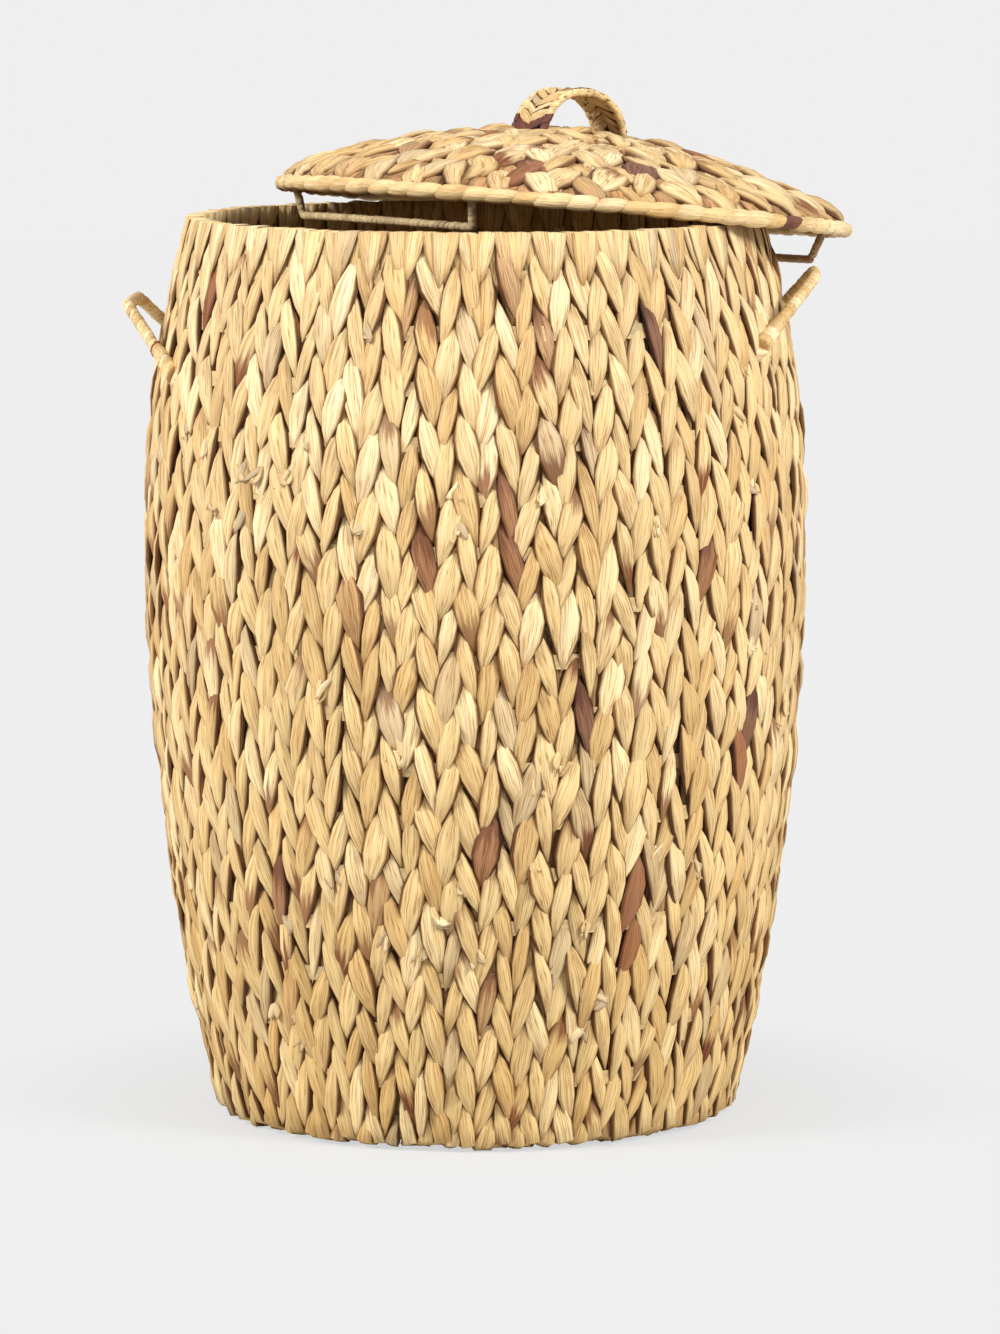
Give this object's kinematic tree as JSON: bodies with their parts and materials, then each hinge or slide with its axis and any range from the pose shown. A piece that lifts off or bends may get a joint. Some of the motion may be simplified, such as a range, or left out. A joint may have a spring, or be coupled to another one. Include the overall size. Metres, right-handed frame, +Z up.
{
  "type": "woven laundry basket",
  "caption": "Barrel-shaped laundry basket of woven plant fibre over a wire frame, with side handles and a loose domed lid that lies ajar on the rim.",
  "frame": {"origin": "on the basket's axis at the floor, in the middle of the flat base", "axes": "+Z up; the side handles are on -X and +X; -Y is the front, as the picture sees it"},
  "size_m": [0.456, 0.4424, 0.6494],
  "materials": {
    "outer_weave": "matte dried water hyacinth",
    "inner_weave": "matte dried water hyacinth",
    "rim_wrap": "matte dried water hyacinth",
    "row_band": "matte flat strip",
    "handle_wrap": "matte wound strip",
    "frame_wire": "dark lacquered wire"
  },
  "bodies": {
    "basket": {"base_hoop": "frame_wire", "base_mat": "outer_weave", "base_wire_across": "frame_wire", "base_wire_along": "frame_wire", "floor_mat": "inner_weave", "inner_weave": "inner_weave", "left_front_binding": "handle_wrap", "left_handle_core": "frame_wire", "left_handle_wrap": "handle_wrap", "left_rear_binding": "handle_wrap", "outer_weave": "outer_weave", "right_front_binding": "handle_wrap", "right_handle_core": "frame_wire", "right_handle_wrap": "handle_wrap", "right_rear_binding": "handle_wrap", "rim_hoop": "frame_wire", "rim_wrap": "rim_wrap", "row_band_01": "row_band", "row_band_02": "row_band", "row_band_03": "row_band", "row_band_04": "row_band", "row_band_05": "row_band", "row_band_06": "row_band", "row_band_07": "row_band", "row_band_08": "row_band", "row_band_09": "row_band", "row_band_10": "row_band", "row_band_11": "row_band", "row_band_12": "row_band", "row_band_13": "row_band", "row_band_14": "row_band", "row_band_15": "row_band", "row_band_16": "row_band", "upright_1": "frame_wire", "upright_2": "frame_wire", "upright_3": "frame_wire", "upright_4": "frame_wire", "upright_5": "frame_wire", "upright_6": "frame_wire"},
    "lid": {"lid_band_1": "row_band", "lid_band_2": "row_band", "lid_band_3": "row_band", "lid_band_4": "row_band", "lid_crown": "outer_weave", "lid_far_bracket_core": "frame_wire", "lid_far_bracket_wrap": "handle_wrap", "lid_handle_band": "handle_wrap", "lid_handle_front_wire": "handle_wrap", "lid_handle_rear_wire": "handle_wrap", "lid_inner_weave": "inner_weave", "lid_near_bracket_core": "frame_wire", "lid_near_bracket_wrap": "handle_wrap", "lid_outer_weave": "outer_weave", "lid_rim_hoop": "frame_wire", "lid_rim_wrap": "rim_wrap", "lid_spoke_1": "frame_wire", "lid_spoke_2": "frame_wire", "lid_spoke_3": "frame_wire", "lid_spoke_4": "frame_wire"}
  },
  "joints": [
    {"name": "lid_lift", "type": "slide", "parent": "basket", "child": "lid", "axis": [0, 0, 1], "range_m": [0, 0.3]}
  ]
}
